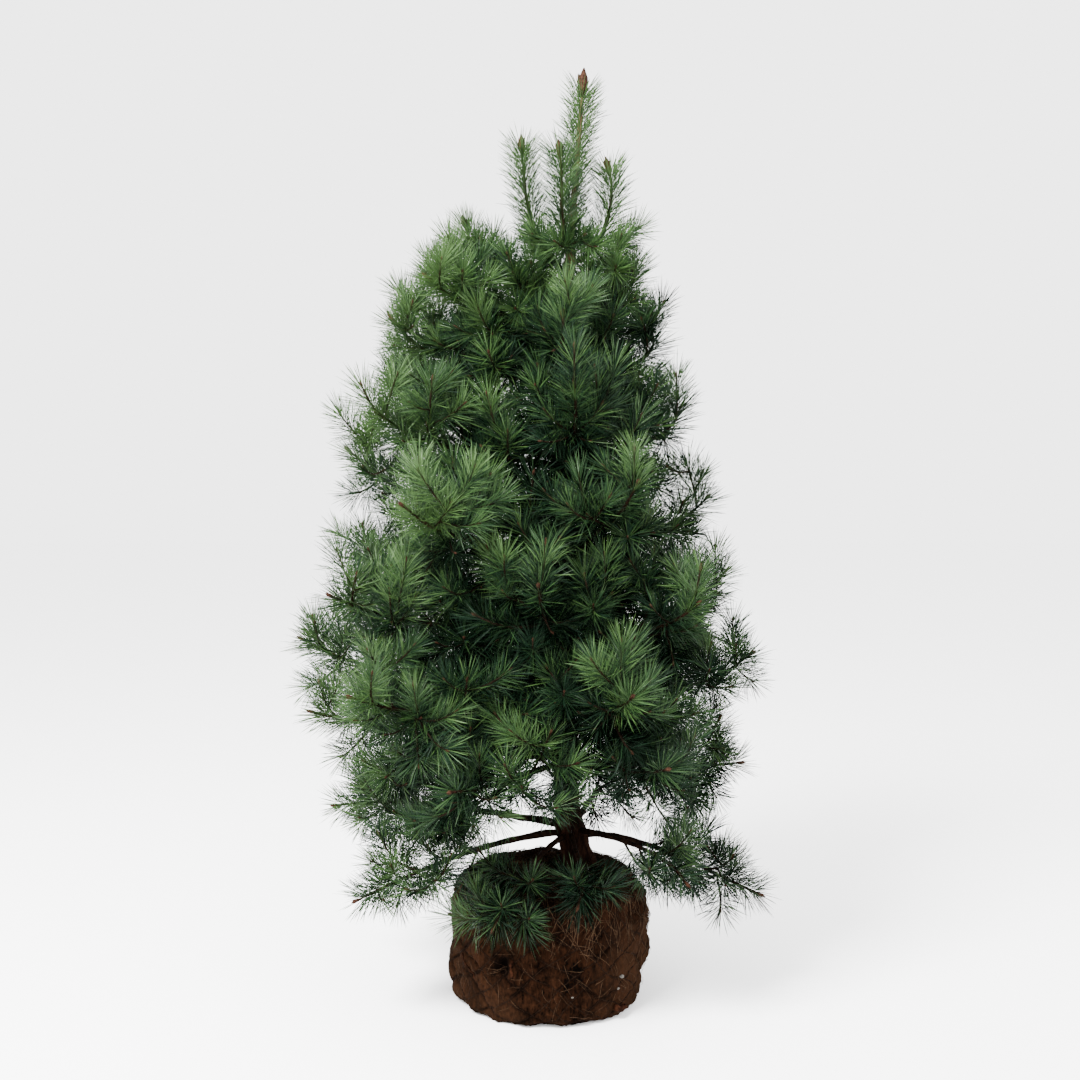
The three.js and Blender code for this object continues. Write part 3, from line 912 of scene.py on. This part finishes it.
def mottle_group():
    """The group Mottle, made once: soft patches of two colours with a finer grain over them, on Object
    coordinates squeezed along each axis, and the same pattern as a height."""
    if "Mottle" in bpy.data.node_groups:
        return bpy.data.node_groups["Mottle"]
    inputs = {
        "Dark": ("Color", (0.1, 0.1, 0.1, 1)),
        "Light": ("Color", (0.5, 0.5, 0.5, 1)),
        "Patches": ("Float", 12.0),
        "Grain": ("Float", 90.0),
        "Squeeze": ("Vector", (1, 1, 1)),
    }
    group, entry, result = new_group("Mottle", inputs, {"Color": "Color", "Height": "Float"})
    nodes, link = group.nodes, group.links.new
    place = nodes.new("ShaderNodeTexCoord")
    squeeze = nodes.new("ShaderNodeVectorMath")
    squeeze.operation = "MULTIPLY"
    link(place.outputs["Object"], squeeze.inputs[0])
    link(entry.outputs["Squeeze"], squeeze.inputs[1])
    patches = nodes.new("ShaderNodeTexNoise")
    patches.inputs["Detail"].default_value = 3
    grain = nodes.new("ShaderNodeTexNoise")
    grain.inputs["Detail"].default_value = 6
    grain.inputs["Roughness"].default_value = 0.7
    for noise, scale in ((patches, "Patches"), (grain, "Grain")):
        link(squeeze.outputs["Vector"], noise.inputs["Vector"])
        link(entry.outputs[scale], noise.inputs["Scale"])
    blend = nodes.new("ShaderNodeMix")
    blend.inputs["Factor"].default_value = 0.55
    link(patches.outputs["Fac"], blend.inputs["A"])
    link(grain.outputs["Fac"], blend.inputs["B"])
    spread = nodes.new("ShaderNodeMapRange")
    spread.inputs["From Min"].default_value = 0.42
    spread.inputs["From Max"].default_value = 0.64
    link(blend.outputs["Result"], spread.inputs["Value"])
    tint = nodes.new("ShaderNodeMix")
    tint.data_type = "RGBA"
    link(spread.outputs["Result"], tint.inputs["Factor"])
    link(entry.outputs["Dark"], tint.inputs["A"])
    link(entry.outputs["Light"], tint.inputs["B"])
    link(tint.outputs["Result"], result.inputs["Color"])
    link(blend.outputs["Result"], result.inputs["Height"])
    return group


def mottled_material(name):
    """A material of one of the FINISHES: Mottle's colour, and its height as a bump."""
    finish = FINISHES[name]
    material = new_material(name, mix(np.array(finish.dark), np.array(finish.light), 0.5), finish.roughness)
    nodes, link = material.node_tree.nodes, material.node_tree.links.new
    shader = nodes["Principled BSDF"]
    mottle = nodes.new("ShaderNodeGroup")
    mottle.node_tree = mottle_group()
    mottle.inputs["Dark"].default_value = (*finish.dark, 1)
    mottle.inputs["Light"].default_value = (*finish.light, 1)
    mottle.inputs["Patches"].default_value = finish.patches
    mottle.inputs["Grain"].default_value = finish.grain
    mottle.inputs["Squeeze"].default_value = finish.squeeze
    link(mottle.outputs["Color"], shader.inputs["Base Color"])
    rough = nodes.new("ShaderNodeBump")
    rough.inputs["Strength"].default_value = finish.bump
    rough.inputs["Distance"].default_value = finish.relief
    link(mottle.outputs["Height"], rough.inputs["Height"])
    link(rough.outputs["Normal"], shader.inputs["Normal"])
    return material


def tint_by(material, attribute, color):
    """Turns the material's colour towards another by an attribute of the mesh, from 0 to 1."""
    nodes, link = material.node_tree.nodes, material.node_tree.links.new
    base = nodes["Principled BSDF"].inputs["Base Color"]
    mask = nodes.new("ShaderNodeAttribute")
    mask.attribute_name = attribute
    tint = nodes.new("ShaderNodeMix")
    tint.data_type = "RGBA"
    tint.inputs["B"].default_value = (*color, 1)
    link(mask.outputs["Fac"], tint.inputs["Factor"])
    link(base.links[0].from_socket, tint.inputs["A"])
    link(tint.outputs["Result"], base)


def add_attribute(piece, name, values):
    """A number at each point of the piece's mesh, for its material."""
    layer = piece.data.attributes.new(name, "FLOAT", "POINT")
    layer.data.foreach_set("value", np.asarray(values, np.float32).ravel())


# ---- Settings --------------------------------------------------------------------------------


def length_setting(name, description, default, **limits):
    """A setting that is a length in metres."""
    return bpy.props.FloatProperty(
        name=name, description=description, default=default, unit="LENGTH", precision=4, **limits
    )


def color_setting(name, description, default):
    """A setting that is a colour."""
    return bpy.props.FloatVectorProperty(
        name=name, description=description, default=default, subtype="COLOR", min=0, max=1
    )


class CrownSettings(bpy.types.PropertyGroup):
    """What a user would change in the crown."""

    seed: bpy.props.IntProperty(name="Seed", description="Which tree of its kind grows", default=7, min=0)
    node_spacing: length_setting("Node spacing", "Distance between whorls of side shoots", 0.06, min=0.03)
    spacing: length_setting("Tuft spacing", "Least distance between the tips of shoots", 0.06, min=0.04)
    depth: length_setting("Depth in the mass", "How far inside its mass's wall a shoot ends", 0.022)
    beyond: length_setting("Into the gaps", "How far a shoot may pass a wall that faces inwards", 0.075)
    single_above: length_setting("Single above", "Height above which no side shoot or twig ends", 1.8)
    clothed: length_setting("Clothed length", "How much of a shoot's end carries needles", 0.11)
    needle_length: length_setting("Needle length", "Length of a full needle", 0.073, min=0.01)
    needle_width: length_setting("Needle width", "Thickness of a needle at its shoulders", 0.0023)
    density: bpy.props.FloatProperty(
        name="Needles per metre", description="Along a clothed shoot", default=1850, min=50
    )
    spray: bpy.props.IntProperty(
        name="Spray", description="Needles in a row that share a tint", default=8, min=1
    )


class BallSettings(bpy.types.PropertyGroup):
    """What a user would change in the root ball."""

    seed: bpy.props.IntProperty(name="Seed", description="How the soil and its wrap lie", default=3, min=0)
    hole_azimuth: bpy.props.FloatProperty(
        name="Hole",
        description="Where round the ball the wrap is torn",
        default=-2.04,
        subtype="ANGLE",
        unit="ROTATION",
    )
    dry_color: color_setting("Dry soil", "Colour where the wrap has dried", (0.0205, 0.0096, 0.0048))


class LimbSettings(bpy.types.PropertyGroup):
    """What a user would change in the trunk and the boughs."""

    seed: bpy.props.IntProperty(name="Seed", description="How the bark cracks", default=11, min=0)
    bark_depth: length_setting("Bark relief", "Depth of the cracks at the foot", 0.0016, min=0)
    young_bark: color_setting("Young bark", "Colour of the leader's bark", (0.085, 0.053, 0.029))


# ---- Operators -------------------------------------------------------------------------------


def main_boughs(shoots):
    """The paths and the foot and tip radii of all boughs but the leader, which the trunk's own bark
    covers."""
    chosen = (shoots.order == 0) & (shoots.mass != MASSES.index(LEADER))
    return shoots.paths[chosen], shoots.radii[chosen]


class PINE_OT_trunk(bpy.types.Operator):
    """Cover the trunk with cracked bark, from the root flare to the smooth young leader"""

    bl_idname = "pine.trunk"
    bl_label = "Trunk bark"

    def execute(self, context):
        settings = context.scene.pine_limbs
        paths = main_boughs(made_once(grow, context.scene.pine_crown))[0]
        trunk = Trunk()
        feet = paths[:, 0] + unit(paths[:, 1] - paths[:, 0]) * trunk.radius(paths[:, 0, 2])[:, None]
        bark = mottled_material("trunk bark")
        tint_by(bark, "young", settings.young_bark)
        shape = trunk_shape(np.random.default_rng(settings.seed), trunk, feet, settings)
        piece = make_piece("trunk_bark", shape, bark, ("trunk",))
        add_attribute(piece, "young", 0.85 * ramp(1.2, 1.8, shape[0][:, 2]))
        return {"FINISHED"}


class PINE_OT_boughs(bpy.types.Operator):
    """Grow the boughs from the trunk to the tips of their masses"""

    bl_idname = "pine.boughs"
    bl_label = "Boughs"

    def execute(self, context):
        settings = context.scene.pine_limbs
        paths, radii = main_boughs(made_once(grow, context.scene.pine_crown))
        paths = finer(paths, 3)
        thick = mix(radii[:, :1], radii[:, 1:], np.linspace(0, 1, paths.shape[1]) ** 0.8)
        shape = limb_shape(np.random.default_rng(settings.seed + 1), paths, thick, 9, 0.0012)
        make_piece("bough_bark", shape, mottled_material("bough bark"), BOUGHS)
        return {"FINISHED"}


class PINE_OT_twigs(bpy.types.Operator):
    """Grow the side shoots and the twigs"""

    bl_idname = "pine.twigs"
    bl_label = "Twigs"

    def execute(self, context):
        shoots = made_once(grow, context.scene.pine_crown)
        thin = shoots.order > 0
        radii = mix(shoots.radii[:, :1], shoots.radii[:, 1:], np.linspace(0, 1, PATH_POINTS))
        every = np.arange(0, PATH_POINTS, 2)
        shape = sweep(shoots.paths[thin][:, every], radii[thin][:, every], 5)
        make_piece("twigs", shape, mottled_material("twig bark"))
        return {"FINISHED"}


class PINE_OT_buds(bpy.types.Operator):
    """Set the winter buds at the tips of the shoots"""

    bl_idname = "pine.buds"
    bl_label = "Buds"

    def execute(self, context):
        rng = np.random.default_rng(context.scene.pine_limbs.seed + 2)
        shape = bud_shapes(rng, made_once(grow, context.scene.pine_crown))
        make_piece("buds", shape, mottled_material("bud scales"))
        return {"FINISHED"}


class PINE_OT_needles(bpy.types.Operator):
    """Clothe the shoots in needles, in place of the masses"""

    bl_idname = "pine.needles"
    bl_label = "Needles"

    def execute(self, context):
        settings = context.scene.pine_crown
        rng = np.random.default_rng(settings.seed + 1)
        shoots = made_once(grow, settings)
        points, owner, from_bud = needle_shapes(rng, shoots, settings)
        tint = deal_tints(rng, shoots, owner, from_bud, settings)
        # painted light and shade: each tint is a material for the sprays dealt to it by light, and its gloss
        # rises with its brightness
        for index, (name, color) in enumerate(NEEDLE_TINTS.items()):
            chosen = points[tint == index]
            material = new_material(f"needles {name}", color, 0.5, gloss=0.03 * index)
            shape = chosen.reshape(-1, 3), needle_faces(len(chosen))
            replaced = MASSES if name == "middle" else ()
            make_piece(f"needles_{name}_sprays", shape, material, replaced, smooth=False)
        return {"FINISHED"}


class PINE_OT_ball(bpy.types.Operator):
    """Wrap the root ball: soil and root hair that bulge under the net's strands"""

    bl_idname = "pine.ball"
    bl_label = "Root ball"

    def execute(self, context):
        ball = made_once(Ball, context.scene.pine_ball)
        soil = mottled_material("soil in hessian")
        tint_by(soil, "dry", context.scene.pine_ball.dry_color)
        # painted shade: the soil turns near black along the creases under the net's strands and in the torn
        # hole
        tint_by(soil, "crease", CREASE_SHADE)
        piece = make_piece("root_ball_wrap", ball.shape(), soil, ("root_ball",))
        # painted shade mask: strongest in the strands' grooves and in the torn hole
        crease = np.clip(0.85 * ball.groove + 1.3 * ball.hole, 0, 1)
        for name, values in (("crease", crease), ("dry", 0.5 * ball.dry)):
            add_attribute(piece, name, np.concatenate([[0], values[1:-1, ::-1].ravel(), [0]]))
        return {"FINISHED"}


class PINE_OT_net(bpy.types.Operator):
    """Lay the net's twine in its creases round the root ball"""

    bl_idname = "pine.net"
    bl_label = "Net"

    def execute(self, context):
        ball = made_once(Ball, context.scene.pine_ball)
        make_piece("net", above_ground(ball.net()), mottled_material("twine"))
        return {"FINISHED"}


class PINE_OT_straw(bpy.types.Operator):
    """Scatter dry needles and stalks over the root ball"""

    bl_idname = "pine.straw"
    bl_label = "Straw"

    def execute(self, context):
        settings = context.scene.pine_ball
        rng = np.random.default_rng(settings.seed + 5)
        ball = made_once(Ball, settings)
        shapes = [straw(rng, ball, *batch) for batch in STRAW]
        make_piece("straw", above_ground(join(shapes)), mottled_material("straw"))
        return {"FINISHED"}


class PINE_OT_roots(bpy.types.Operator):
    """Add the cut roots and the small stones that show through the wrap"""

    bl_idname = "pine.roots"
    bl_label = "Roots and stones"

    def execute(self, context):
        settings = context.scene.pine_ball
        ball = made_once(Ball, settings)
        make_piece("cut_roots", above_ground(cut_roots(ball)), mottled_material("root bark"))
        stones = stone_shapes(np.random.default_rng(settings.seed + 9), ball)
        make_piece("stones", stones, mottled_material("stone"))
        return {"FINISHED"}


class PINE_OT_stage(bpy.types.Operator):
    """Set the pale floor, the soft studio light and the camera"""

    bl_idname = "pine.stage"
    bl_label = "Stage"

    def execute(self, context):
        world = bpy.data.worlds.new("studio")
        context.scene.world = world
        world.use_nodes = True
        sky = world.node_tree.nodes["Background"]
        sky.inputs["Color"].default_value = (1, 1, 1, 1)
        sky.inputs["Strength"].default_value = WORLD_STRENGTH
        bpy.ops.mesh.primitive_plane_add(size=30)
        floor = context.object
        floor.name = "floor"
        floor.data.materials.append(new_material("floor", (0.97, 0.97, 0.97), 1.0))
        for name, (place, size, power) in LIGHTS.items():
            lamp = bpy.data.lights.new(name, "AREA")
            lamp.energy = power
            lamp.size = size
            light = bpy.data.objects.new(name, lamp)
            light.location = place
            light.rotation_euler = (LIT_POINT - Vector(place)).to_track_quat("-Z", "Y").to_euler()
            context.scene.collection.objects.link(light)
        lens = bpy.data.cameras.new("camera")
        lens.lens = LENS
        lens.sensor_width = 36
        camera = bpy.data.objects.new("camera", lens)
        camera.location = CAMERA_PLACE
        camera.rotation_euler = (np.radians(90 - CAMERA_DOWN), 0, 0)
        context.scene.collection.objects.link(camera)
        context.scene.camera = camera
        return {"FINISHED"}


class PINE_PT_panel(bpy.types.Panel):
    """The plant's settings and the buttons that make its pieces"""

    bl_idname = "PINE_PT_panel"
    bl_label = "Pine with root ball"
    bl_space_type = "VIEW_3D"
    bl_region_type = "UI"
    bl_category = "Pine"

    def draw(self, context):
        for group, operators in GROUPS.items():
            box = self.layout.box()
            settings = getattr(context.scene, group, None)
            for name in type(settings).__annotations__ if settings else ():
                box.prop(settings, name)
            for operator in operators:
                box.operator(operator)


SETTINGS = {"pine_crown": CrownSettings, "pine_limbs": LimbSettings, "pine_ball": BallSettings}
GROUPS = {
    "pine_limbs": ("pine.trunk", "pine.boughs"),
    "pine_crown": ("pine.twigs", "pine.buds", "pine.needles"),
    "pine_ball": ("pine.ball", "pine.net", "pine.straw", "pine.roots"),
    "stage": ("pine.stage",),
}
CLASSES = (
    *SETTINGS.values(),
    PINE_OT_trunk,
    PINE_OT_boughs,
    PINE_OT_twigs,
    PINE_OT_buds,
    PINE_OT_needles,
    PINE_OT_ball,
    PINE_OT_net,
    PINE_OT_straw,
    PINE_OT_roots,
    PINE_OT_stage,
    PINE_PT_panel,
)


def register():
    for kind in CLASSES:
        bpy.utils.register_class(kind)
    for name, kind in SETTINGS.items():
        setattr(bpy.types.Scene, name, bpy.props.PointerProperty(type=kind))


def unregister():
    for name in SETTINGS:
        delattr(bpy.types.Scene, name)
    for kind in reversed(CLASSES):
        bpy.utils.unregister_class(kind)


def main():
    register()
    bpy.ops.pine.trunk()
    bpy.ops.pine.boughs()
    bpy.ops.pine.twigs()
    bpy.ops.pine.buds()
    bpy.ops.pine.needles()
    bpy.ops.pine.ball()
    bpy.ops.pine.net()
    bpy.ops.pine.straw()
    bpy.ops.pine.roots()
    bpy.ops.pine.stage()


if __name__ == "__main__":
    main()
